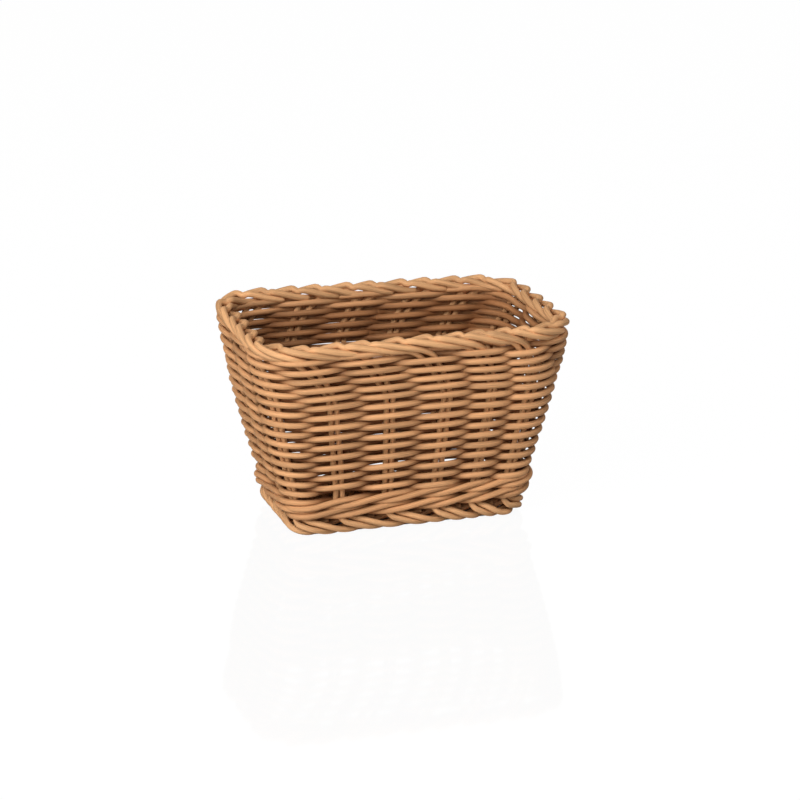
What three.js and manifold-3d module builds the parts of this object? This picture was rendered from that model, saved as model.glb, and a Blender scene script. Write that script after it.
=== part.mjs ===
// A rectangular serving basket of round synthetic cane, in millimetres, +Z up.
// Pairs of stakes rise from a rolled foot border to a rolled rim border. Two rounds of
// three-strand wale lock them above the foot, two chasing strands fill the sides, and a
// woven base lies inside the foot.
import * as THREE from 'three';
import Module from 'manifold-3d';

// Overall size, over the outside of the two borders
const rimLength = 220;
const rimWidth = 145;
const footLength = 168;
const footWidth = 98;
const basketHeight = 140;
const rimCornerRadius = 35;
const footCornerRadius = 19;

// Cane
const stakeDiameter = 4;
const weaverDiameter = 4.2;
const waleDiameter = 4;
const baseStickDiameter = 3.4;
const baseWeaverWidth = 4.2;
const baseWeaverThickness = 2.4;
const caneSides = 4;

// Pattern
const longSidePairs = 4; // stake pairs between two corner pairs
const shortSidePairs = 2;
const wantedRoundHeight = 7.1;
const waleRounds = 2;
const roundsPerLength = 2; // rounds that one length of the side weave makes
const waleStrands = 3;
const leanRounds = 4; // rounds below the rim in which the stakes lean
const leanShift = 15; // how far they lean to the left
const baseStickCount = 5;
const baseEdge = 11; // from the outer base sticks to the edge of the base

// Fits
const clearance = 0.3; // between canes that touch
const baseWeaverGap = 0.5; // between passes of the base weaver
const seamGap = 0.8; // between two lengths that meet end to end
const strandTail = 6; // past the last stake pair at the start and the end of the weave

// Rolled borders: six strand places around each, two strands for each stake pair
const stakeRadius = stakeDiameter / 2;
const borderPlaces = 6;
const strandsPerPair = 2;
const placeTurn = 2 * Math.PI / borderPlaces;
const stepTurn = placeTurn / 2;
const spacingTurn = strandsPerPair * placeTurn;
const borderEaseRatio = 1.02;
const strandChord = 2 * Math.sin(placeTurn / 2) * Math.cos(stepTurn / 2);
const borderRadius = borderEaseRatio * (stakeDiameter + clearance) / strandChord;
const borderReach = borderRadius + stakeRadius;
const footFlatShare = 1 / 10; // of the cane's diameter, cut flat where the basket stands
const footFlat = footFlatShare * stakeDiameter;
const footSteps = 7; // half places that a strand turns through in the border
const rimSteps = 10;
const footTurn = footSteps * stepTurn;
const rimTurn = rimSteps * stepTurn;
const entryShare = 3 / 4; // of the cane's diameter, from the border to where a stake leaves the wall
const borderEntry = borderRadius + entryShare * stakeDiameter;
const strandLeadShare = 1 / 4; // of a spacing, from a stake pair to each of its border strands
const easeOutShare = 1 / 3; // of the border's radius, where a trailing strand steps out of the wall
const easeLiftShare = 1 / 2; // of the cane's radius, by which it does so before the border

const footBorder = { axis: borderReach - footFlat, side: -1, drift: 1, turn: footTurn };
const rimBorder = { axis: basketHeight - borderReach, side: 1, drift: -1, turn: rimTurn };
const footExit = footBorder.axis + borderEntry;
const rimExit = rimBorder.axis - borderEntry;

// The wall's middle surface, where the stakes stand
const pairsAround = 2 * (longSidePairs + shortSidePairs + 2);
const longRun = (longSidePairs + 1) / 2; // spacings from the middle of a long side to a corner
const shortRun = (shortSidePairs + 1) / 2;
const quarter = longRun + shortRun;
const backSeam = 2 * quarter; // middle of the back, where each round steps up to the next

function outlineAt(z) {
  const rise = (z - footBorder.axis) / (rimBorder.axis - footBorder.axis);
  const between = (foot, rim) => THREE.MathUtils.lerp(foot - borderReach, rim - borderReach, rise);
  const outline = {
    halfLength: between(footLength / 2, rimLength / 2),
    halfWidth: between(footWidth / 2, rimWidth / 2),
    corner: between(footCornerRadius, rimCornerRadius),
  };
  outline.flatLength = outline.halfLength - outline.corner;
  outline.flatWidth = outline.halfWidth - outline.corner;
  outline.halfArc = outline.corner * Math.PI / 4;
  outline.longSpacing = (outline.flatLength + outline.halfArc) / longRun;
  outline.shortSpacing = (outline.flatWidth + outline.halfArc) / shortRun;
  return outline;
}

// One quarter of the outline, from the middle of the front to the middle of the right side
function quarterPoint(station, outline) {
  const { halfLength, halfWidth, corner, flatLength, flatWidth } = outline;
  if (station <= longRun) {
    const along = station * outline.longSpacing;
    if (along <= flatLength) return { x: along, y: -halfWidth, outX: 0, outY: -1 };
    const angle = (along - flatLength) / corner;
    const outX = Math.sin(angle);
    const outY = -Math.cos(angle);
    return { x: flatLength + corner * outX, y: -flatWidth + corner * outY, outX, outY };
  }
  const along = (quarter - station) * outline.shortSpacing;
  if (along <= flatWidth) return { x: halfLength, y: -along, outX: 1, outY: 0 };
  const angle = (along - flatWidth) / corner;
  const outX = Math.cos(angle);
  const outY = -Math.sin(angle);
  return { x: flatLength + corner * outX, y: -flatWidth + corner * outY, outX, outY };
}

// Stations count stake spacings to the right from the middle of the front
const hair = 1e-6; // tells which side of a station is meant

function wrap(station) {
  return ((station % pairsAround) + pairsAround) % pairsAround;
}

function pairStation(pair) {
  return pair + 1 / 2;
}

function fromMiddleOf(station) {
  return Math.abs(wrap(station + quarter) % (2 * quarter) - quarter);
}

function wallPoint(station, z, outward, outline = outlineAt(z)) {
  const around = wrap(station);
  const turn = Math.floor(around / quarter);
  const local = turn % 2 === 0 ? around - turn * quarter : (turn + 1) * quarter - around;
  const flipX = turn >= 2 ? -1 : 1;
  const flipY = turn === 1 || turn === 2 ? -1 : 1;
  const { x, y, outX, outY } = quarterPoint(local, outline);
  return {
    point: new THREE.Vector3(flipX * (x + outX * outward), flipY * (y + outY * outward), z),
    out: new THREE.Vector3(flipX * outX, flipY * outY, 0),
  };
}

function spacingAt(station, z) {
  const outline = outlineAt(z);
  return fromMiddleOf(station) <= longRun ? outline.longSpacing : outline.shortSpacing;
}

function moved(station, distance, z) {
  return station + distance / spacingAt(station + Math.sign(distance) * hair, z);
}

// Rounds of the weave, level but for the step up at the back seam
const crossPinchShare = 1 / 4; // of a round's height, from its middle to a crossing strand
const firstRound = footBorder.axis + borderReach + clearance + wantedRoundHeight / 2;
const lastRoundLimit = rimBorder.axis - borderReach - clearance - wantedRoundHeight / 2;
const roundSteps = Math.round((lastRoundLimit - firstRound) / wantedRoundHeight);
const roundHeight = (lastRoundLimit - firstRound) / roundSteps;
const weaveRounds = roundSteps + 1 - waleRounds;
const crossRise = crossPinchShare * roundHeight;
const crossHalfHeight = crossRise - clearance;
const pairRise = crossRise - clearance; // the strands lie a little closer to their round at the pairs

function roundAt(station) {
  const rounds = (station - backSeam) / pairsAround;
  return Number.isInteger(rounds) ? rounds - 1 / 2 : Math.floor(rounds);
}

function roundZ(station) {
  return firstRound + roundAt(station) * roundHeight;
}

// The stakes lean to the left in the rounds just below the rim
const leanStart = rimExit - leanRounds * roundHeight;
const leanSlope = leanShift / (rimExit - leanStart);
const leanStretch = Math.hypot(1, leanSlope);
const pairHalf = (stakeDiameter + clearance) / 2;

function leanAt(z) {
  return -leanSlope * Math.max(0, z - leanStart);
}

function pairOffset(z) {
  return z > leanStart ? pairHalf * leanStretch : pairHalf;
}

// A cane swept through samples; each sample gives its centre, the outward direction and half sizes
function caneGeometry(samples) {
  const positions = [];
  const faces = [];
  samples.forEach((sample, ring) => {
    const before = samples[Math.max(ring - 1, 0)].point;
    const after = samples[Math.min(ring + 1, samples.length - 1)].point;
    const along = after.clone().sub(before).normalize();
    const depth = sample.out.clone().addScaledVector(along, -sample.out.dot(along)).normalize();
    const across = along.clone().cross(depth);
    for (let side = 0; side < caneSides; side += 1) {
      const angle = 2 * Math.PI * side / caneSides;
      const corner = sample.point.clone()
        .addScaledVector(depth, sample.halfDepth * Math.cos(angle))
        .addScaledVector(across, sample.halfHeight * Math.sin(angle));
      positions.push(corner.x, corner.y, corner.z);
    }
  });
  const lastRing = (samples.length - 1) * caneSides;
  for (let ring = 0; ring < lastRing; ring += caneSides) {
    for (let side = 0; side < caneSides; side += 1) {
      const next = (side + 1) % caneSides;
      faces.push(ring + side, ring + next, ring + caneSides + side);
      faces.push(ring + next, ring + caneSides + next, ring + caneSides + side);
    }
  }
  for (let side = 1; side < caneSides - 1; side += 1) {
    faces.push(0, side + 1, side);
    faces.push(lastRing, lastRing + side, lastRing + side + 1);
  }
  const geometry = new THREE.BufferGeometry();
  geometry.setAttribute('position', new THREE.Float32BufferAttribute(positions, 3));
  geometry.setIndex(faces);
  return geometry;
}

const wasm = await Module();
wasm.setup();

// Cuts away what would reach below the surface that the basket stands on
function standFlat(geometry) {
  const whole = new wasm.Manifold(new wasm.Mesh({
    numProp: 3,
    vertProperties: geometry.attributes.position.array,
    triVerts: new Uint32Array(geometry.index.array),
  }));
  const cut = whole.trimByPlane([0, 0, 1], 0).getMesh();
  const flat = new THREE.BufferGeometry();
  flat.setAttribute('position', new THREE.Float32BufferAttribute(cut.vertProperties, 3));
  flat.setIndex(Array.from(cut.triVerts));
  return flat;
}

const basket = new THREE.Group();

function addPiece(name, geometry, color, roughness) {
  geometry.computeVertexNormals();
  const material = new THREE.MeshStandardMaterial({ color, roughness, metalness: 0 });
  const piece = new THREE.Mesh(geometry, material);
  piece.name = name;
  basket.add(piece);
}

// Stakes: each runs from the foot border up the wall into the rim border
function round(sample) {
  return { ...sample, halfDepth: stakeRadius, halfHeight: stakeRadius };
}

function borderSamples(border, station, leads) {
  const outline = outlineAt(border.axis);
  const place = (along, outward, level) => round(
    wallPoint(along, border.axis + border.side * level, outward, outline),
  );
  const start = station + border.drift * (leads ? strandLeadShare : -strandLeadShare);
  const samples = [];
  if (!leads) {
    const ease = -border.drift * pairHalf;
    const lift = borderRadius + easeLiftShare * stakeRadius;
    const outward = easeOutShare * borderRadius;
    samples.push(place(moved(station, ease, border.axis), outward, -lift));
  }
  const firstTurn = leads ? 0 : placeTurn;
  const steps = Math.round((border.turn - firstTurn) / stepTurn);
  for (let step = 0; step <= steps; step += 1) {
    const turn = firstTurn + step * stepTurn;
    const along = start + border.drift * turn / spacingTurn;
    samples.push(place(along, borderRadius * Math.sin(turn), -borderRadius * Math.cos(turn)));
  }
  return samples;
}

function stakeSamples(pair, hand) {
  const station = pairStation(pair);
  const wall = (z) => {
    const shifted = moved(station, hand * pairOffset(z) + leanAt(z), z);
    return round(wallPoint(shifted, z, 0));
  };
  const rimStation = moved(station, leanAt(rimExit), rimExit);
  const foot = borderSamples(footBorder, station, hand === footBorder.drift).reverse();
  const rim = borderSamples(rimBorder, rimStation, hand === rimBorder.drift);
  const leanMiddle = (leanStart + rimExit) / 2;
  return [...foot, ...[footExit, leanStart, leanMiddle, rimExit].map(wall), ...rim];
}

const stakeColor = 0xb58652;
const caneRoughness = 0.5;
const hands = { left: -1, right: 1 };
for (let pair = 0; pair < pairsAround; pair += 1) {
  const label = String(pair + 1).padStart(2, '0');
  Object.entries(hands).forEach(([name, hand]) => {
    const geometry = standFlat(caneGeometry(stakeSamples(pair, hand)));
    addPiece(`stake_${label}_${name}`, geometry, stakeColor, caneRoughness);
  });
}

// Weavers pass in front of and behind the stake pairs
function isCorner(pair) {
  return Math.abs(fromMiddleOf(pairStation(pair)) - longRun) < hair;
}

function passPair(pair, side, z, halfDepth, halfHeight) {
  const station = pairStation(pair);
  const shift = leanAt(z);
  const offset = pairOffset(z);
  const outline = outlineAt(z);
  const reach = halfDepth + stakeRadius + clearance;
  const size = { halfDepth, halfHeight };
  const leans = z > leanStart;
  if (!isCorner(pair) && !leans) {
    const share = offset / (spacingAt(station, z) / 2);
    const outward = side * reach / (1 - share);
    return [{ ...wallPoint(moved(station, shift, z), z, outward), ...size }];
  }
  const spread = offset + stakeRadius / 2 + (leans ? leanSlope * halfHeight / 2 : 0);
  const bend = spread / outline.corner;
  const outer = (outline.corner + reach) / Math.cos(bend) - outline.corner;
  const outward = side > 0 ? outer : -reach;
  return [-spread, spread].map((distance) => (
    { ...wallPoint(moved(station, shift + distance, z), z, outward), ...size }
  ));
}

function crossing(station, z, outward, halfDepth) {
  const shifted = moved(station, leanAt(z), z);
  return { ...wallPoint(shifted, z, outward), halfDepth, halfHeight: crossHalfHeight };
}

function endNear(sample, next, distance) {
  const point = sample.point.clone().lerp(next.point, distance / sample.point.distanceTo(next.point));
  return { ...sample, point };
}

// Side weave: two strands half a round apart, each in front of every other pair
const weaverRadius = weaverDiameter / 2;
const weaverPressRatio = 0.86; // how far a strand flattens where it bears on the stakes

function weaveSamples(firstStake, stakeCount, strand, startsWeave, endsWeave) {
  const samples = [];
  const level = strand === 0 ? -1 : 1;
  for (let count = 0; count < stakeCount; count += 1) {
    const pair = firstStake + count;
    const side = (pair + strand) % 2 === 0 ? 1 : -1;
    if (count === 0 && !startsWeave) {
      samples.push(crossing(pair, roundZ(pair) + level * crossRise, 0, weaverRadius));
    }
    const z = roundZ(pairStation(pair)) + level * pairRise;
    samples.push(...passPair(pair, side, z, weaverPressRatio * weaverRadius, weaverRadius));
    if (count < stakeCount - 1 || !endsWeave) {
      samples.push(crossing(pair + 1, roundZ(pair + 1) + level * crossRise, 0, weaverRadius));
    }
  }
  return samples;
}

function trimEnds(samples, startsWeave, endsWeave) {
  const last = samples.length - 1;
  const trimmed = samples.slice();
  if (!startsWeave) trimmed[0] = endNear(samples[0], samples[1], seamGap / 2);
  if (!endsWeave) trimmed[last] = endNear(samples[last], samples[last - 1], seamGap / 2);
  return trimmed;
}

// Continues a strand level past the stake pair where the weave starts or ends
function tailPast(sample, station, direction, z) {
  const tail = wallPoint(moved(station, leanAt(z) + direction * strandTail, z), z, 0);
  const here = wallPoint(moved(station, leanAt(z), z), z, 0);
  return { ...sample, point: sample.point.clone().add(tail.point).sub(here.point) };
}

const weaveColor = 0xc08e58;
const lengths = Math.ceil(weaveRounds / roundsPerLength);
for (let length = 0; length < lengths; length += 1) {
  const firstRoundOfLength = length * roundsPerLength;
  const rounds = Math.min(roundsPerLength, weaveRounds - firstRoundOfLength);
  const firstStake = backSeam + (waleRounds + firstRoundOfLength) * pairsAround;
  const stakeCount = rounds * pairsAround;
  const endsWeave = length === lengths - 1;
  ['a', 'b'].forEach((letter, strand) => {
    const samples = trimEnds(
      weaveSamples(firstStake, stakeCount, strand, false, endsWeave), false, endsWeave,
    );
    if (endsWeave) {
      const lastStation = pairStation(firstStake + stakeCount - 1);
      samples.push(tailPast(samples[samples.length - 1], lastStation, 1, roundZ(lastStation)));
    }
    addPiece(`weave_${length + 1}${letter}`, caneGeometry(samples), weaveColor, caneRoughness);
  });
}

// Wale: three strands, each in front of two pairs, rising, and behind the third
const waleRadius = waleDiameter / 2;
const walePressRatio = 0.9;

function waleSamples(strand) {
  const samples = [];
  const stakeCount = waleRounds * pairsAround;
  for (let count = 0; count < stakeCount; count += 1) {
    const pair = backSeam + count;
    const beat = (count + strand) % waleStrands;
    const side = beat === 2 ? -1 : 1;
    const rise = [-crossRise, crossRise, 0][beat];
    const z = roundZ(pairStation(pair)) + rise;
    const atPair = passPair(pair, side, z, walePressRatio * waleRadius, crossHalfHeight);
    if (count === 0) samples.push(tailPast(atPair[0], pairStation(pair), -1, z));
    samples.push(...atPair);
    const between = roundZ(pair + 1) + [0, crossRise, -crossRise][beat];
    const outward = beat === 0 ? walePressRatio * waleRadius + stakeRadius + clearance : 0;
    samples.push(crossing(pair + 1, between, outward, waleRadius));
  }
  return trimEnds(samples, true, false);
}

const waleColor = 0xbd8b56;
for (let strand = 0; strand < waleStrands; strand += 1) {
  addPiece(`wale_${strand + 1}`, caneGeometry(waleSamples(strand)), waleColor, caneRoughness);
}

// Base: sticks along the length, and one weaver that goes back and forth across them
const up = new THREE.Vector3(0, 0, 1);
const baseStickRadius = baseStickDiameter / 2;
const baseWeaverHalf = baseWeaverThickness / 2;
const innerFootTop = footBorder.axis - borderRadius * Math.cos(footTurn - Math.PI) + stakeRadius;
const baseInset = stakeRadius + clearance;
const baseOutline = outlineAt(footBorder.axis);
const baseHalfLength = baseOutline.halfLength - baseInset;
const baseHalfWidth = baseOutline.halfWidth - baseInset;
const baseCorner = baseOutline.corner - baseInset;
const stickSpacing = 2 * (baseHalfWidth - baseEdge) / (baseStickCount - 1);
const weaverStandoff = baseStickRadius + baseWeaverHalf + clearance;
const weaverLift = weaverStandoff / Math.sqrt(1 - (2 * weaverStandoff / stickSpacing) ** 2);
const baseMiddle = innerFootTop + clearance + weaverLift + baseWeaverHalf;
const baseColor = 0xad7f4e;
const baseRoughness = 0.55;

for (let stick = 0; stick < baseStickCount; stick += 1) {
  const y = -baseHalfWidth + baseEdge + stick * stickSpacing;
  const half = { out: up, halfDepth: baseStickRadius, halfHeight: baseStickRadius };
  const ends = [-1, 1].map((end) => (
    { ...half, point: new THREE.Vector3(end * baseHalfLength, y, baseMiddle) }
  ));
  addPiece(`base_stick_${stick + 1}`, caneGeometry(ends), baseColor, baseRoughness);
}

function baseReachAt(x) {
  const past = Math.abs(x) - (baseHalfLength - baseCorner);
  if (past <= 0) return baseHalfWidth;
  return baseHalfWidth - baseCorner + Math.sqrt(Math.max(baseCorner ** 2 - past ** 2, 0));
}

function baseWeaverSamples() {
  const endReach = baseCorner - baseEdge + baseStickRadius + clearance + baseWeaverWidth;
  const endPast = Math.sqrt(baseCorner ** 2 - endReach ** 2);
  const edge = baseHalfLength - baseCorner + endPast - baseWeaverWidth / 2;
  const passes = Math.floor(2 * edge / (baseWeaverWidth + baseWeaverGap)) + 1;
  const half = { out: up, halfDepth: baseWeaverHalf, halfHeight: baseWeaverWidth / 2 };
  const samples = [];
  for (let pass = 0; pass < passes; pass += 1) {
    const x = -edge + 2 * edge * pass / (passes - 1);
    const heading = pass % 2 === 0 ? 1 : -1;
    const edgeSide = Math.abs(x) + baseWeaverWidth / 2;
    const turnAt = baseReachAt(edgeSide) - baseWeaverWidth / 2;
    const add = (y, lift) => samples.push(
      { ...half, point: new THREE.Vector3(x, heading * y, baseMiddle + lift) },
    );
    add(-turnAt, 0);
    for (let stick = 0; stick < baseStickCount; stick += 1) {
      const lift = stick % 2 === 0 ? weaverLift : -weaverLift;
      add(-baseHalfWidth + baseEdge + stick * stickSpacing, heading * lift);
    }
    add(turnAt, 0);
  }
  return samples;
}

addPiece('base_weaver', caneGeometry(baseWeaverSamples()), baseColor, baseRoughness);

export default basket;
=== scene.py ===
import math

import bpy
import numpy as np
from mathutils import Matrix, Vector


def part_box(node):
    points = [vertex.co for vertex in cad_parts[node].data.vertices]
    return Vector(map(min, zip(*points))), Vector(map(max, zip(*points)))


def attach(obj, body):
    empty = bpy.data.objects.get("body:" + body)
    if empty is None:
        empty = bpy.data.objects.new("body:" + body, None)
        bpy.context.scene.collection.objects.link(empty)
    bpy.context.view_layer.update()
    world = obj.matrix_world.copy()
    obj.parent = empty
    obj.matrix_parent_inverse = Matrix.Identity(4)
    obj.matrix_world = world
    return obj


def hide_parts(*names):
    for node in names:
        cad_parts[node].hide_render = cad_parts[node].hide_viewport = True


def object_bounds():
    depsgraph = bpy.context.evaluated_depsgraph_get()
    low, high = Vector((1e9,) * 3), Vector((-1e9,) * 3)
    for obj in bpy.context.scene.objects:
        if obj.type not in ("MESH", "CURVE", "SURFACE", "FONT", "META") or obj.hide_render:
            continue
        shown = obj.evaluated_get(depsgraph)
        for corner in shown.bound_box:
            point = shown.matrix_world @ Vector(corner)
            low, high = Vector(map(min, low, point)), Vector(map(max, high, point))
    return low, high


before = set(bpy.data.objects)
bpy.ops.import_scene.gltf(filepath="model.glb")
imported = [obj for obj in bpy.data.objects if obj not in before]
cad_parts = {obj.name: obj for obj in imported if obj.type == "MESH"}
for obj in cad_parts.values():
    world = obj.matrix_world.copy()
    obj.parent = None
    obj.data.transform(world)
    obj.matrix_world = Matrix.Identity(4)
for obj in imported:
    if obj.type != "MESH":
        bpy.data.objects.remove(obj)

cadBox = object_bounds()
print("frame loaded:", len(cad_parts), "canes")

mm = 0.001
hair = 0.001 * mm  # keeps a division off zero
white = (1, 1, 1, 1)
lowCorner, highCorner = cadBox
rimLength = highCorner.x - lowCorner.x
rimWidth = highCorner.y - lowCorner.y
basketHeight = highCorner.z

# The wall's middle surface, where the stakes stand
wall = {
    "footLength": 168 * mm,
    "footWidth": 98 * mm,
    "footCorner": 19 * mm,
    "rimCorner": 35 * mm,
    "borderReach": 6.54 * mm,  # from the middle of a border to its outside
    "footFlat": 0.4 * mm,
    "belly": 1.6 * mm,
    "sideBelly": 3.2 * mm,  # the short sides bulge by this much more
    "bellyBend": 1.6,  # above 1 puts the widest part of the bulge over half the height
    "tilt": 2.7 * mm,  # the back of the rim is higher on the left than on the right
    "longPairs": 4,  # stake pairs between two corner pairs
    "shortPairs": 2,
    # pairs that stand off even spacing, in spacings to the right
    "offEven": {
        1: 0.04,
        2: -0.09,
        3: -0.36,
        4: -0.24,
        5: -0.12,
        12: -0.05,
        13: -0.05,
        14: -0.13,
        15: -0.13,
        16: -0.05,
    },
}
pairsAround = 2 * (wall["longPairs"] + wall["shortPairs"] + 2)
longRun = (wall["longPairs"] + 1) / 2
shortRun = (wall["shortPairs"] + 1) / 2
quarter = longRun + shortRun
backSeam = 2 * quarter  # middle of the back, where the lengths of a strand meet
footAxis = wall["borderReach"] - wall["footFlat"]
rimAxis = basketHeight - wall["borderReach"]


def outlineAt(z):
    rise = (z - footAxis) / (rimAxis - footAxis)

    def between(foot, rim):
        return foot + (rim - foot) * rise - wall["borderReach"]

    halfLength = between(wall["footLength"] / 2, rimLength / 2)
    halfWidth = between(wall["footWidth"] / 2, rimWidth / 2)
    corner = between(wall["footCorner"], wall["rimCorner"])
    return halfLength - corner, halfWidth - corner, corner


def spacingAt(z):
    flatLength, _, corner = outlineAt(z)
    return (flatLength + corner * math.pi / 4) / longRun


shiftPairs = np.arange(pairsAround) + 0.5
shiftValues = [wall["offEven"].get(pair + 1, 0.0) for pair in range(pairsAround)]


# Stations count stake spacings to the right from the middle of the front
def wallAt(station, z, outward):
    flatLength, flatWidth, corner = outlineAt(z)
    halfArc = corner * math.pi / 4
    even = station + np.interp(station, shiftPairs, shiftValues, period=pairsAround)
    around = np.mod(even, pairsAround)
    turn = np.floor(around / quarter)
    local = np.where(turn % 2 == 0, around - turn * quarter, (turn + 1) * quarter - around)
    flipX = np.where(turn >= 2, -1, 1)
    flipY = np.where((turn == 1) | (turn == 2), -1, 1)
    onLong = local <= longRun
    alongLong = local * (flatLength + halfArc) / longRun
    alongShort = (quarter - local) * (flatWidth + halfArc) / shortRun
    past = np.where(onLong, alongLong - flatLength, alongShort - flatWidth)
    angle = np.clip(past, 0, None) / corner
    outX = np.where(onLong, np.sin(angle), np.cos(angle))
    outY = -np.where(onLong, np.cos(angle), np.sin(angle))
    bulge = np.sin(math.pi * np.clip(z / basketHeight, 0, 1) ** wall["bellyBend"])
    reach = corner + outward + (wall["belly"] + wall["sideBelly"] * outX) * bulge
    x = flipX * (np.where(onLong, np.minimum(alongLong, flatLength), flatLength) + reach * outX)
    y = flipY * (reach * outY - np.where(onLong, flatWidth, np.minimum(alongShort, flatWidth)))
    tilt = wall["tilt"] * (0.5 + y / rimWidth) * (z / basketHeight) ** 2 * 2 * x / rimLength
    return np.stack([x, y, z - tilt], axis=-1)


# From 1 where a station lies at the middle given to 0 on the other side of the basket
def nearness(station, middle, share):
    return np.clip(share + np.cos(2 * math.pi * (station - middle) / pairsAround), 0, 1)


# One socket of a node tree; an expression on sockets adds Math nodes
class Wire:
    def __init__(self, tree, socket=None):
        self.tree = tree
        self.socket = socket

    def node(self, kind, settings=None, sockets=None, output=0):
        added = self.tree.nodes.new(kind)
        for key, value in (settings or {}).items():
            setattr(added, key, value)
        for key, value in (sockets or {}).items():
            if isinstance(value, Wire):
                self.tree.links.new(value.socket, added.inputs[key])
            else:
                added.inputs[key].default_value = value
        return Wire(self.tree, added.outputs[output]) if len(added.outputs) else added

    def out(self, name):
        return Wire(self.tree, self.socket.node.outputs[name])

    def math(self, operation, first, second=0):
        return self.node("ShaderNodeMath", {"operation": operation}, {0: first, 1: second})

    def __add__(self, other):
        return self.math("ADD", self, other)

    def __radd__(self, other):
        return self.math("ADD", other, self)

    def __sub__(self, other):
        return self.math("SUBTRACT", self, other)

    def __rsub__(self, other):
        return self.math("SUBTRACT", other, self)

    def __mul__(self, other):
        return self.math("MULTIPLY", self, other)

    def __rmul__(self, other):
        return self.math("MULTIPLY", other, self)


# Sweeps a round section along a path, pressed flat where the path says so
def buildCaneSweep():
    tree = bpy.data.node_groups.new("caneSweep", "GeometryNodeTree")
    sockets = tree.interface
    sockets.new_socket("Path", in_out="INPUT", socket_type="NodeSocketGeometry")
    sockets.new_socket("Sides", in_out="INPUT", socket_type="NodeSocketInt")
    sockets.new_socket("Finish", in_out="INPUT", socket_type="NodeSocketMaterial")
    sockets.new_socket("Cane", in_out="OUTPUT", socket_type="NodeSocketGeometry")
    start = Wire(tree)
    given = start.node("NodeGroupInput")

    def named(name, kind):
        return start.node("GeometryNodeInputNamedAttribute", {"data_type": kind}, {"Name": name})

    def store(geometry, name, value):
        return start.node(
            "GeometryNodeStoreNamedAttribute",
            {"data_type": "FLOAT_VECTOR", "domain": "POINT"},
            {"Geometry": geometry, "Name": name, "Value": value},
        )

    def vectors(operation, first, second, output=0):
        return start.node("ShaderNodeVectorMath", {"operation": operation}, {0: first, 1: second}, output)

    place = start.node("GeometryNodeInputPosition")
    curve = start.node("GeometryNodeMeshToCurve", {}, {"Mesh": given.out("Path")})
    curve = store(curve, "centre", place)
    circle = {"Resolution": given.out("Sides"), "Radius": 1.0}
    ring = store(start.node("GeometryNodeCurvePrimitiveCircle", {}, circle), "side", place)
    swept = start.node(
        "GeometryNodeCurveToMesh",
        {},
        {"Curve": curve, "Profile Curve": ring, "Scale": named("caneRadius", "FLOAT"), "Fill Caps": True},
    )
    press = named("press", "FLOAT_VECTOR")
    fromCentre = vectors("SUBTRACT", place, named("centre", "FLOAT_VECTOR"))
    depth = vectors("DOT_PRODUCT", fromCentre, press, "Value")
    inward = start.node("ShaderNodeVectorMath", {"operation": "SCALE"}, {0: press, "Scale": 0 - depth})
    swept = start.node("GeometryNodeSetPosition", {}, {"Geometry": swept, "Offset": inward})
    side = start.node("ShaderNodeSeparateXYZ", {}, {0: named("side", "FLOAT_VECTOR")})
    grain = {"X": named("caneAlong", "FLOAT"), "Y": side.out("X"), "Z": side.out("Y")}
    swept = store(swept, "grain", start.node("ShaderNodeCombineXYZ", {}, grain))
    for spare in ("centre", "side", "press", "caneRadius", "caneAlong"):
        swept = start.node("GeometryNodeRemoveAttribute", {}, {"Geometry": swept, "Name": spare})
    corners = start.node("GeometryNodeInputMeshFaceNeighbors", {}, {}, "Vertex Count")
    fewCorners = {"data_type": "INT", "operation": "LESS_EQUAL"}
    isWall = start.node("FunctionNodeCompare", fewCorners, {2: corners, 3: 4})
    swept = start.node("GeometryNodeSetShadeSmooth", {}, {"Geometry": swept, "Shade Smooth": isWall})
    swept = start.node("GeometryNodeRealizeInstances", {}, {"Geometry": swept})
    swept = start.node("GeometryNodeSetMaterial", {}, {"Geometry": swept, "Material": given.out("Finish")})
    start.node("NodeGroupOutput", {}, {"Cane": swept})
    return tree


caneSweep = buildCaneSweep()
sweepSockets = caneSweep.interface.items_tree
sweepInputs = {item.name: item.identifier for item in sweepSockets if item.in_out == "INPUT"}
print("cane sweep ready")

cane = {
    "bevel": 0.35 * mm,  # the trimmed edge of an end
    "shrink": 0.84,
    "sides": 14,
    "grainShift": 1.37,  # from where one cane's grain starts to where the next one's does
}
made = []


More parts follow.
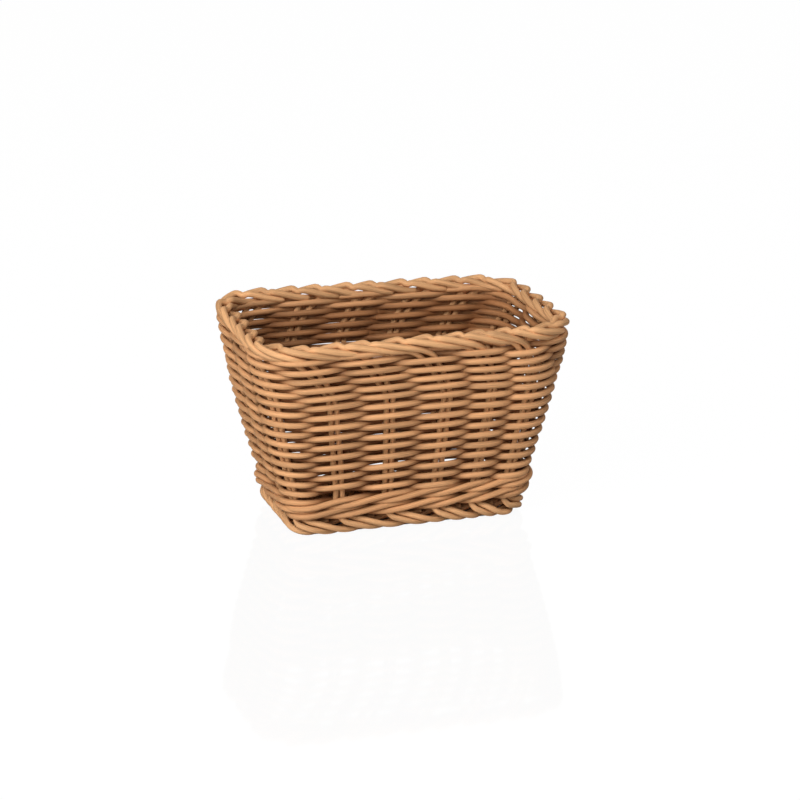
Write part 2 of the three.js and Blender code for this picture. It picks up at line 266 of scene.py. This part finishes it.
# path holds x, y, z and radius
def makeCane(name, finish, path, press=(0, 0, 0), sides=cane["sides"]):
    ends = []
    for end, inner in ((0, 1), (-1, -2)):
        step = path[end, :3] - path[inner, :3]
        tip = path[end].copy()
        tip[:3] += cane["bevel"] * step / np.linalg.norm(step)
        tip[3] *= cane["shrink"]
        ends.append(tip)
    full = np.concatenate([[ends[0]], path, [ends[1]]])
    gaps = np.linalg.norm(np.diff(full[:, :3], axis=0), axis=1)
    along = np.concatenate([[0], np.cumsum(gaps)]) + cane["grainShift"] * len(made)
    mesh = bpy.data.meshes.new(name)
    mesh.from_pydata(full[:, :3].tolist(), [(k, k + 1) for k in range(len(full) - 1)], [])
    for label, values in (("caneRadius", full[:, 3]), ("caneAlong", along)):
        attribute = mesh.attributes.new(label, "FLOAT", "POINT")
        attribute.data.foreach_set("value", values.astype(np.float32))
    pressed = np.tile(press, (len(full), 1)).astype(np.float32)
    mesh.attributes.new("press", "FLOAT_VECTOR", "POINT").data.foreach_set("vector", pressed.ravel())
    piece = bpy.data.objects.new(name, mesh)
    bpy.context.scene.collection.objects.link(piece)
    sweep = piece.modifiers.new("sweep", "NODES")
    sweep.node_group = caneSweep
    sweep[sweepInputs["Sides"]] = sides
    sweep[sweepInputs["Finish"]] = finish
    graph = bpy.context.evaluated_depsgraph_get()
    shaped = piece.evaluated_get(graph)
    swept = bpy.data.meshes.new_from_object(shaped, preserve_all_data_layers=True, depsgraph=graph)
    piece.modifiers.clear()
    piece.data = swept
    bpy.data.meshes.remove(mesh)
    swept.name = name
    made.append(piece)
    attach(piece, "root")
    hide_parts(name)


# Distance outward from the wall's middle surface, and height, for shaders
def wallDepth(start):
    spot = start.node("ShaderNodeSeparateXYZ", {}, {0: start.node("ShaderNodeTexCoord", {}, {}, "Object")})
    height = spot.out("Z")
    rise = (height - footAxis) * (1 / (rimAxis - footAxis))
    shapes = zip(outlineAt(footAxis), outlineAt(rimAxis))
    flatLength, flatWidth, corner = [rise * (rim - foot) + foot for foot, rim in shapes]
    pastX = start.math("ABSOLUTE", spot.out("X")) - flatLength
    pastY = start.math("ABSOLUTE", spot.out("Y")) - flatWidth
    roundX = start.math("MAXIMUM", pastX, 0)
    roundY = start.math("MAXIMUM", pastY, 0)
    around = start.math("SQRT", roundX * roundX + roundY * roundY)
    within = start.math("MINIMUM", start.math("MAXIMUM", pastX, pastY), 0)
    share = start.math("MAXIMUM", height * (1 / basketHeight), 0)
    bulge = start.math("SINE", start.math("POWER", share, wall["bellyBend"]) * math.pi)
    onShort = start.math("DIVIDE", roundX, around + hair)
    return around + within - corner - bulge * onShort * wall["sideBelly"], height


# Synthetic cane: satin, finely streaked along its length, with painted shade darker inside the basket and
# within the weave
def caneFinish(name, look):
    finish = bpy.data.materials.new(name)
    finish.use_nodes = True
    finish.node_tree.nodes.clear()
    start = Wire(finish.node_tree)
    grain = start.node("ShaderNodeAttribute", {"attribute_name": "grain"}, {}, "Vector")

    def noise(stretch, detail):
        placed = start.node("ShaderNodeVectorMath", {"operation": "MULTIPLY"}, {0: grain, 1: stretch})
        return start.node("ShaderNodeTexNoise", {}, {"Vector": placed, "Scale": 1.0, "Detail": detail})

    def ramp(value, stops):
        mapped = start.node("ShaderNodeValToRGB", {}, {0: value})
        elements = mapped.socket.node.color_ramp.elements
        first, *middle, last = stops
        for element, (place, tone) in zip(elements, (first, last)):
            element.position = place
            element.color = (*tone, 1)
        for place, tone in middle:
            elements.new(place).color = (*tone, 1)
        return mapped

    def mix(settings, factor, first, second):
        sockets = {0: factor, 6: first, 7: second}
        return start.node("ShaderNodeMix", {"data_type": "RGBA", **settings}, sockets, 2)

    streaks = noise(look["streak"], look["streakDetail"])
    patches = noise(look["patch"], look["patchDetail"])
    tints = [(place, [share * part for part in look["base"]]) for place, share in look["tints"]]
    streaked = ramp(streaks * look["streakDepth"] + patches * look["patchDepth"], tints)
    # painted shade: the colour darkens with depth into the wall, darkest within the weave and on the inside
    depth, height = wallDepth(start)
    span = look["shadeSpan"]
    shadeDepth = start.node("ShaderNodeMapRange", {}, {"Value": depth, "From Min": -span, "From Max": span})
    weaveShade = ramp(shadeDepth, [(0.5 + at / span / 2, tone) for at, tone in look["shadeTones"]])
    # the painted shade fades out towards the rim, where more light falls
    shadeFade = start.node(
        "ShaderNodeMapRange",
        {"interpolation_type": "SMOOTHSTEP"},
        {"Value": height, "From Min": look["shadeFadeFrom"], "From Max": look["shadeFadeTo"], "To Max": look["shadeFadeShare"]},
    )
    paintedShade = mix({}, shadeFade, weaveShade, white)
    bumped = {"Strength": look["bump"], "Distance": look["bumpDepth"], "Height": streaks}
    shader = start.node(
        "ShaderNodeBsdfPrincipled",
        {},
        {
            "Base Color": mix({"blend_type": "MULTIPLY"}, 1.0, streaked, paintedShade),
            "Roughness": look["rough"] + look["roughStreak"] * streaks,
            "Specular IOR Level": look["specular"],
            "Normal": start.node("ShaderNodeBump", {}, bumped),
        },
    )
    start.node("ShaderNodeOutputMaterial", {}, {"Surface": shader})
    return finish


caneLook = {
    "base": (0.6, 0.312, 0.143),
    "tints": ((0.36, 0.7), (0.5, 1), (0.64, 1.24)),  # dark to light streaks, as shares of the base colour
    "streak": (55.0, 5.0, 5.0),  # turns of the pattern per metre along, per radius across
    "streakDetail": 3.0,
    "streakDepth": 0.55,
    "patch": (14.0, 0.5, 0.5),
    "patchDetail": 1.0,
    "patchDepth": 0.45,
    "bump": 0.35,
    "bumpDepth": 0.15 * mm,
    "rough": 0.55,
    "roughStreak": 0.16,
    "specular": 0.2,
    # painted shade: darker inside the basket, and darkest within the weave
    "shadeSpan": 6 * mm,
    "shadeTones": (
        (-5.5 * mm, (0.62, 0.54, 0.48)),
        (-1.0 * mm, (0.36, 0.28, 0.22)),
        (1.2 * mm, (0.38, 0.29, 0.23)),
        (5.0 * mm, (1, 1, 1)),
    ),
    # the painted shade fades out near the rim, which lies open to the light, so it keeps most of its colour
    "shadeFadeFrom": 121 * mm,
    "shadeFadeTo": 131 * mm,
    "shadeFadeShare": 0.85,
}
# painted shade on the stakes: darker where they pass within the weave and on the inside
stakeShadeTones = ((-3 * mm, (0.5, 0.42, 0.37)), (2 * mm, (0.9, 0.88, 0.86)), (4 * mm, (1, 1, 1)))
stakeFinish = caneFinish("stakeCane", {**caneLook, "base": (0.66, 0.359, 0.168), "shadeTones": stakeShadeTones})
weaveFinish = caneFinish("weaveCane", caneLook)
waleFinish = caneFinish("waleCane", {**caneLook, "base": (0.57, 0.289, 0.13)})
baseFinish = caneFinish("baseCane", caneLook)
print("cane finishes ready")


# A smooth drift with one knot for each stake spacing
def drift(draw, station, size):
    first = math.floor(station.min())
    knots = draw.uniform(-size, size, math.ceil(station.max()) - first + 2)
    cell = np.floor(station - first).astype(int)
    part = station - first - cell
    part = part * part * (3 - 2 * part)
    return knots[cell] * (1 - part) + knots[cell + 1] * part


# A smooth curve through keys of x, y, z and radius
def smoothPath(keys, step):
    gaps = np.linalg.norm(np.diff(keys[:, :3], axis=0), axis=1)
    at = np.concatenate([[0], np.cumsum(gaps)])
    slopes = np.gradient(keys, at, axis=0)
    fine = np.linspace(0, at[-1], max(2, round(at[-1] / step)) + 1)
    cell = np.clip(np.searchsorted(at, fine, side="right") - 1, 0, len(gaps) - 1)
    gap = gaps[cell][:, None]
    part = ((fine - at[cell]) / gaps[cell])[:, None]
    square, cube = part**2, part**3
    return (
        (2 * cube - 3 * square + 1) * keys[cell]
        + (cube - 2 * square + part) * gap * slopes[cell]
        + (3 * square - 2 * cube) * keys[cell + 1]
        + (cube - square) * gap * slopes[cell + 1]
    )


# Stakes: from the foot border up the wall, leaning left near the top, into the rim border
stake = {
    "radius": 1.9 * mm,
    "rimRadius": 2.2 * mm,
    "footRadius": 2.0 * mm,
    "pairHalf": 2.1 * mm,
    "spreadHalf": 4.4 * mm,  # half of the gap between a pair's middles just under the rim
    "footExit": 13.7 * mm,  # where a stake leaves the wall for a border
    "rimExit": 125.9 * mm,
    "exitGap": 2 * mm,  # from the foot's exit to the wall's first key
    "keyGap": 9 * mm,
    "leanFrom": 95 * mm,
    "leanKeyGap": 4 * mm,
    "leanShift": 16 * mm,
    "leanBend": 1.5,
    "lead": 0.215,  # spacings from a pair to each of its border strands
    "wander": 0.35 * mm,
    "seed": 11,
    "step": 1.7 * mm,
}
# The strands of a border wind around its middle, by the turns reached at these spacings;
# those of the rim cross quickly over the top and dip there, between two rows of humps
rimBorder = {
    "axis": rimAxis + 1.2 * mm,
    "side": 1,
    "drift": -1,
    "turns": (0, 60, 110, 130, 230, 255, 300, 345),
    "spacings": (0, 0.47, 0.88, 1.04, 1.22, 1.4, 1.68, 1.92),
    "wide": 4.2 * mm,
    "high": 4.6 * mm,
    "dip": 3.2 * mm,
    "tuck": 0.35,
}
footBorder = {
    "axis": footAxis,
    "side": -1,
    "drift": 1,
    "turns": (0, 60, 230, 320),
    "spacings": (0, 0.32, 1.35, 2.0),
    "wide": 4.4 * mm,
    "high": 4.1 * mm,
    "dip": 0,
    "tuck": 0,
}
winding = {
    "keyTurn": 15,
    "trailTurn": 60,  # where a pair's second strand comes out from under its first
    "dipTurn": 180,
    "dipHalf": 32,
    "tuckFrom": 250,
    "tuckSpan": 90,
    "startJitter": 0.02,
    "sizeJitter": 0.04,
    "endJitter": 12,
}


def leanAt(z):
    rise = np.clip((z - stake["leanFrom"]) / (stake["rimExit"] - stake["leanFrom"]), 0, None)
    return -stake["leanShift"] * rise ** stake["leanBend"]


def borderKeys(border, station, leads, caneRadius, draw):
    start = station + border["drift"] * (stake["lead"] if leads else -stake["lead"])
    start += draw.uniform(-winding["startJitter"], winding["startJitter"])
    scale = draw.uniform(1 - winding["sizeJitter"], 1 + winding["sizeJitter"])
    firstTurn = winding["keyTurn"] if leads else winding["trailTurn"]
    lastTurn = border["turns"][-1] + draw.uniform(-winding["endJitter"], winding["endJitter"])
    degrees = np.arange(firstTurn, lastTurn, winding["keyTurn"])
    turns = np.radians(degrees)
    tuck = 1 - border["tuck"] * np.clip((degrees - winding["tuckFrom"]) / winding["tuckSpan"], 0, 1)
    dip = border["dip"] * np.exp(-(((degrees - winding["dipTurn"]) / winding["dipHalf"]) ** 2))
    stations = start + border["drift"] * np.interp(degrees, border["turns"], border["spacings"])
    heights = border["axis"] - border["side"] * (border["high"] * scale * tuck * np.cos(turns) + dip)
    points = wallAt(stations, heights, border["wide"] * scale * tuck * np.sin(turns))
    return np.column_stack([points, np.full(len(turns), caneRadius)])


def stakePath(pair, hand, draw):
    station = pair + 0.5
    straight = np.arange(stake["footExit"] + stake["exitGap"], stake["leanFrom"], stake["keyGap"])
    leaned = np.arange(stake["leanFrom"], stake["rimExit"], stake["leanKeyGap"])
    heights = np.concatenate([straight, leaned])
    topRise = np.clip((heights - stake["leanFrom"]) / (stake["rimExit"] - stake["leanFrom"]), 0, 1)
    half = stake["pairHalf"] + (stake["spreadHalf"] - stake["pairHalf"]) * topRise**2
    stations = station + (hand * half + leanAt(heights)) / spacingAt(heights)
    sway = draw.uniform(-stake["wander"], stake["wander"], len(heights))
    points = wallAt(stations + sway / spacingAt(heights), heights, 0)
    wallKeys = np.column_stack([points, np.full(len(heights), stake["radius"])])
    rimStation = station + leanAt(stake["rimExit"]) / spacingAt(stake["rimExit"])
    foot = borderKeys(footBorder, station, hand == footBorder["drift"], stake["footRadius"], draw)
    rim = borderKeys(rimBorder, rimStation, hand == rimBorder["drift"], stake["rimRadius"], draw)
    return smoothPath(np.concatenate([foot[::-1], wallKeys, rim]), stake["step"])


hands = {"left": -1, "right": 1}
for pair in range(pairsAround):
    for handName, hand in hands.items():
        draw = np.random.default_rng([stake["seed"], pair, hand + 1])
        makeCane(f"stake_{pair + 1:02d}_{handName}", stakeFinish, stakePath(pair, hand, draw))
print("stakes made:", 2 * pairsAround)

# Rounds: each strand climbs by one round on its way around the basket
rounds = {
    "wale": (16.3 * mm, 24.4 * mm),
    "first": 30.9 * mm,
    "height": 7.45 * mm,
    "count": 14,
    "close": 6.4 * mm,  # the last rounds lie closer together
    "closeCount": 4,
    "climb": 0.115,  # share of a round by which a strand climbs faster across the front
    "sag": 2.0 * mm,  # the top rounds hang lower near the front right corner
    "sagAt": 2.1,
    "sagHalf": 1.8,
    "sagFrom": 75 * mm,
    "backLift": 3.2 * mm,  # and lie higher on the back, up to the rim
}
waleCount = len(rounds["wale"])
evenCount = rounds["count"] - rounds["closeCount"]
evenHeights = [rounds["first"] + k * rounds["height"] for k in range(evenCount)]
closeHeights = [evenHeights[-1] + (k + 1) * rounds["close"] for k in range(rounds["closeCount"] + 1)]
roundHeights = [*rounds["wale"], *evenHeights, *closeHeights]


def roundHeight(station):
    turns = (station - backSeam) / pairsAround - 0.5
    level = turns + rounds["climb"] * np.sin(2 * math.pi * station / pairsAround)
    height = np.interp(level, np.arange(len(roundHeights)), roundHeights)
    fromSag = np.mod(station - rounds["sagAt"] + pairsAround / 2, pairsAround) - pairsAround / 2
    near = np.clip(1 - (fromSag / rounds["sagHalf"]) ** 2, 0, 1) ** 2
    high = np.clip((height - rounds["sagFrom"]) / (roundHeights[-2] - rounds["sagFrom"]), 0, 1)
    lift = rounds["backLift"] * nearness(station, backSeam, 0)
    return height + (lift - rounds["sag"] * near) * high


def leaning(station, z):
    return station + leanAt(z) / spacingAt(z)


# Side weave: two strands half a round apart, each in front of every other pair
sideWeave = {
    "radius": 1.99 * mm,
    "reach": 4.1 * mm,
    "flatten": 0.25,  # widens the outer and inner ends of a wave
    "roundsPerLength": 2,
    "lateStart": 7.4,  # spacings past the back seam where the lower strand comes out of the wale
    "tuck": 2.5 * mm,
    "tuckHalf": 0.5,
    "lateEnd": (7.5, 8.5),  # spacings past the seam where the last two strands end, on the inside
    "backDip": 1.1 * mm,  # on the back and right the strands lie lower outside and higher inside
    "dipMiddle": 6.8,
    "frontLift": 0.6 * mm,  # and on the front higher outside and lower inside
    "dipShare": 0.6,
    "swell": 0.22 * mm,  # the strands are a little thicker on the right side
    "swellMiddle": 4.6,
    "swellShare": 0.3,
    "perSpacing": 18,
    "wander": 0.22 * mm,
    "seed": 23,
}


def weavePath(start, end, strand, tuck, draw):
    station = np.linspace(start, end, round((end - start) * sideWeave["perSpacing"]) + 1)
    wave = np.cos(math.pi * (station - 0.5 + strand))
    level = roundHeight(station)
    quarterRound = (roundHeight(station + pairsAround / 2) - roundHeight(station - pairsAround / 2)) / 4
    tucked = tuck * np.exp(-(((station - start) / sideWeave["tuckHalf"]) ** 2))
    dip = sideWeave["backDip"] * nearness(station, sideWeave["dipMiddle"], sideWeave["dipShare"])
    lift = sideWeave["frontLift"] * nearness(station, 0, sideWeave["dipShare"])
    z = level + (2 * strand - 1) * quarterRound - tucked + (lift - dip) * wave
    z += drift(draw, station, sideWeave["wander"])
    outward = sideWeave["reach"] * wave * (1 + sideWeave["flatten"] * (1 - wave**2))
    outward += drift(draw, station, sideWeave["wander"])
    points = wallAt(leaning(station, level), z, outward)
    swell = sideWeave["swell"] * nearness(station, sideWeave["swellMiddle"], sideWeave["swellShare"])
    return np.column_stack([points, sideWeave["radius"] + swell])


lengths = math.ceil(rounds["count"] / sideWeave["roundsPerLength"])
for length in range(lengths):
    firstRound = length * sideWeave["roundsPerLength"]
    lastRound = min(firstRound + sideWeave["roundsPerLength"], rounds["count"])
    for strand, letter in enumerate("ab"):
        draw = np.random.default_rng([sideWeave["seed"], length, strand])
        isLate = length == 0 and strand == 0
        start = backSeam + (waleCount + firstRound) * pairsAround + isLate * sideWeave["lateStart"]
        end = backSeam + (waleCount + lastRound) * pairsAround
        if length == lengths - 1:
            end += sideWeave["lateEnd"][strand]
        strandPath = weavePath(start, end, strand, isLate * sideWeave["tuck"], draw)
        makeCane(f"weave_{length + 1}{letter}", weaveFinish, strandPath)
print("side weave made:", 2 * lengths, "strands in", rounds["count"], "rounds")

# Wale: three strands, each in front of two pairs, rising, and behind the third
wale = {
    "radius": 2.05 * mm,
    "strands": 3,
    "frontMiddle": 4.9 * mm,  # how far out a strand lies between its two front pairs
    "reach": 4.0 * mm,  # and at each pair
    "nest": 0.69 * mm,
    "rise": 2.6 * mm,
    "perSpacing": 18,
    "wander": 0.2 * mm,
    "tail": 0.2,
    "seed": 37,
}


def walePath(strand, draw):
    start = backSeam + 0.5 - wale["tail"]
    end = backSeam + waleCount * pairsAround
    station = np.linspace(start, end, round((end - start) * wale["perSpacing"]) + 1)
    phase = 2 * math.pi / wale["strands"] * (station - 1 - backSeam + strand)
    swing = (wale["frontMiddle"] + wale["reach"]) / 2
    even = wale["frontMiddle"] - swing
    flatten = (even + swing / 2 - wale["reach"]) / 1.5  # its front pairs lie a sixth of a turn off the middle
    outward = even - flatten + swing * np.cos(phase) + flatten * np.cos(2 * phase)
    outward += wale["nest"] * (np.sin(phase) - np.sin(2 * phase)) + drift(draw, station, wale["wander"])
    z = roundHeight(station) + wale["rise"] * np.sin(phase) + drift(draw, station, wale["wander"])
    points = wallAt(station, z, outward)
    return np.column_stack([points, np.full(len(points), wale["radius"])])


for strand in range(wale["strands"]):
    draw = np.random.default_rng([wale["seed"], strand])
    makeCane(f"wale_{strand + 1}", waleFinish, walePath(strand, draw))
print("wale made:", wale["strands"], "strands")

# Base: sticks along the length, and one flat weaver back and forth across them
base = {
    "sticks": 5,
    "stickRadius": 1.7 * mm,
    "stickPoints": 40,
    "edge": 11 * mm,  # from the outer sticks to the edge of the base
    "inset": 2.3 * mm,
    "sway": 0.4 * mm,
    "swayLength": 20 * mm,
    "weaverWidth": 4.2 * mm,
    "weaverThick": 2.4 * mm,
    "weaverSides": 10,
    "gap": 0.5 * mm,
    "passPoints": 34,
    "turnAngles": (45, 90, 135),
    "step": 1.5 * mm,
    "seed": 41,
}
baseFlatLength, baseFlatWidth, footCorner = outlineAt(footAxis)
baseCorner = footCorner - base["inset"]
baseHalfLength = baseFlatLength + baseCorner
baseHalfWidth = baseFlatWidth + baseCorner
stickGap = 2 * (baseHalfWidth - base["edge"]) / (base["sticks"] - 1)
weaverLift = base["stickRadius"] + base["weaverThick"] / 2
baseMiddle = (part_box("base_weaver")[0].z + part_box("base_weaver")[1].z) / 2

for stick in range(base["sticks"]):
    draw = np.random.default_rng([base["seed"], stick])
    xs = np.linspace(-baseHalfLength, baseHalfLength, base["stickPoints"])
    ys = -baseHalfWidth + base["edge"] + stick * stickGap + drift(draw, xs / base["swayLength"], base["sway"])
    zs = np.full(len(xs), baseMiddle)
    stickPath = np.column_stack([xs, ys, zs, np.full(len(xs), base["stickRadius"])])
    makeCane(f"base_stick_{stick + 1}", baseFinish, stickPath)


def baseReach(x):
    past = np.clip(np.abs(x) - baseFlatLength, 0, None)
    return baseFlatWidth + np.sqrt(np.clip(baseCorner**2 - past**2, 0, None))


def weaverPath():
    pitch = base["weaverWidth"] + base["gap"]
    half = base["weaverWidth"] / 2
    passes = 2 * int((baseHalfLength - base["weaverWidth"]) / pitch)
    keys = []
    for row in range(passes):
        x = (row - (passes - 1) / 2) * pitch
        heading = 1 if row % 2 == 0 else -1
        turnAt = baseReach(abs(x) + pitch) - pitch / 2 - half
        ys = np.linspace(-turnAt, turnAt, base["passPoints"])
        wave = np.cos(math.pi * (ys + baseHalfWidth - base["edge"]) / stickGap)
        zs = baseMiddle + heading * weaverLift * wave
        keys += [(x, heading * y, z, half) for y, z in zip(ys, zs)]
        if row < passes - 1:
            for angle in np.radians(base["turnAngles"]):
                turnX = x + pitch / 2 * (1 - math.cos(angle))
                turnY = heading * (turnAt + pitch / 2 * math.sin(angle))
                keys.append((turnX, turnY, baseMiddle, half))
    return smoothPath(np.array(keys), base["step"])


flattened = math.sqrt(1 - base["weaverThick"] / base["weaverWidth"])
makeCane("base_weaver", baseFinish, weaverPath(), (0, 0, flattened), base["weaverSides"])
print("base made:", base["sticks"], "sticks and a weaver")

# Camera at the photo's angle; the frame is square
view = {
    "azimuth": -17.535,
    "elevation": 18.124,
    "distance": 2.2078,
    "aim": 67.5 * mm,
    "lens": 146.69,
    "sensor": 36,
    "shift": (0.01091, 0.01314),
}
azimuth, elevation = math.radians(view["azimuth"]), math.radians(view["elevation"])
alongFloor = math.cos(elevation)
toCamera = Vector((math.sin(azimuth) * alongFloor, -math.cos(azimuth) * alongFloor, math.sin(elevation)))
aim = Vector((0, 0, view["aim"]))
camera = bpy.data.objects.new("camera", bpy.data.cameras.new("camera"))
camera.data.sensor_width = view["sensor"]
camera.data.lens = view["lens"]
camera.data.shift_x, camera.data.shift_y = view["shift"]
camera.location = aim + view["distance"] * toCamera
camera.rotation_euler = (-toCamera).to_track_quat("-Z", "Y").to_euler()
bpy.context.scene.collection.objects.link(camera)
bpy.context.scene.camera = camera
bpy.context.scene.view_settings.view_transform = "Standard"

# Soft light: a large key from the left and above, fill from the front, a weak one from the right
lamps = {
    "leftLow": {"at": (-2.0, -1.2, 0.9), "size": 1.2, "power": 28},
    "leftHigh": {"at": (-1.5, -1.1, 1.7), "size": 1.2, "power": 28},
    "frontHigh": {"at": (-0.3, -1.7, 1.8), "size": 1.2, "power": 17},
    "frontLow": {"at": (-0.3, -2.2, 1.1), "size": 1.2, "power": 7},
    "rightFill": {"at": (2.0, -0.4, 1.1), "size": 1.2, "power": 9},
}
for name, lamp in lamps.items():
    light = bpy.data.lights.new(name, "AREA")
    light.size = lamp["size"]
    light.energy = lamp["power"]
    holder = bpy.data.objects.new(name, light)
    holder.location = lamp["at"]
    holder.rotation_euler = (aim - holder.location).to_track_quat("-Z", "Y").to_euler()
    bpy.context.scene.collection.objects.link(holder)

studio = {
    "sky": 0.04,
    "skyColour": (1, 0.8, 0.58, 1),
    "cardAngle": 25,  # degrees around the mirrored view in which gloss meets white
    "floorColour": (0.5, 0.5, 0.5, 1),
    "floorSize": 6.0,
    "floorDrop": 0.1 * mm,
    "footInset": 1 * mm,
    "whiteShare": 0.96,
    "glow": 1.03,
    "gloss": 0.04,
    "mirrorRough": 0.05,
}
# World: white to the camera, and to the gloss that mirrors what lies behind the basket
world = bpy.data.worlds.new("studio")
world.use_nodes = True
world.node_tree.nodes.clear()
sky = Wire(world.node_tree)
cameraRay = sky.node("ShaderNodeLightPath", {}, {}, "Is Camera Ray")
ahead = sky.node("ShaderNodeTexCoord", {}, {}, "Generated")
mirrored = (-toCamera.x, -toCamera.y, toCamera.z)
facing = sky.node("ShaderNodeVectorMath", {"operation": "DOT_PRODUCT"}, {0: ahead, 1: mirrored}, "Value")
card = sky.math("GREATER_THAN", facing, math.cos(math.radians(studio["cardAngle"])))
seen = sky.math("MAXIMUM", cameraRay, cameraRay.out("Is Glossy Ray") * card)
dim = sky.node("ShaderNodeBackground", {}, {"Color": studio["skyColour"], "Strength": studio["sky"]})
bright = sky.node("ShaderNodeBackground", {}, {"Color": white, "Strength": 1.0})
mixed = sky.node("ShaderNodeMixShader", {}, {0: seen, 1: dim, 2: bright})
sky.node("ShaderNodeOutputWorld", {}, {"Surface": mixed})
bpy.context.scene.world = world

# Floor: white to the camera, keeping a little of the shadow and a faint mirror image
floorMesh = bpy.data.meshes.new("floor")
reach = studio["floorSize"] / 2
floorCorners = [(-reach, -reach, 0), (reach, -reach, 0), (reach, reach, 0), (-reach, reach, 0)]
floorMesh.from_pydata(floorCorners, [], [(0, 1, 2, 3)])
floor = bpy.data.objects.new("floor", floorMesh)
floor.location.z = -studio["floorDrop"]
bpy.context.scene.collection.objects.link(floor)
paint = bpy.data.materials.new("floorPaint")
paint.use_nodes = True
paint.node_tree.nodes.clear()
coat = Wire(paint.node_tree)
matte = coat.node("ShaderNodeBsdfDiffuse", {}, {"Color": studio["floorColour"]})
glow = coat.node("ShaderNodeEmission", {}, {"Color": white, "Strength": studio["glow"]})
mirror = coat.node("ShaderNodeBsdfGlossy", {}, {"Color": white, "Roughness": studio["mirrorRough"]})
ray = coat.node("ShaderNodeLightPath", {}, {}, "Is Camera Ray")
# inside the foot's outline the floor isn't whitened, so gaps in the foot show shade
outside = coat.math("GREATER_THAN", wallDepth(coat)[0], -studio["footInset"])
lit = coat.node("ShaderNodeMixShader", {}, {0: ray * outside * studio["whiteShare"], 1: matte, 2: glow})
coated = coat.node("ShaderNodeMixShader", {}, {0: ray * studio["gloss"], 1: lit, 2: mirror})
coat.node("ShaderNodeOutputMaterial", {}, {"Surface": coated})
floorMesh.materials.append(paint)
print("stage ready")
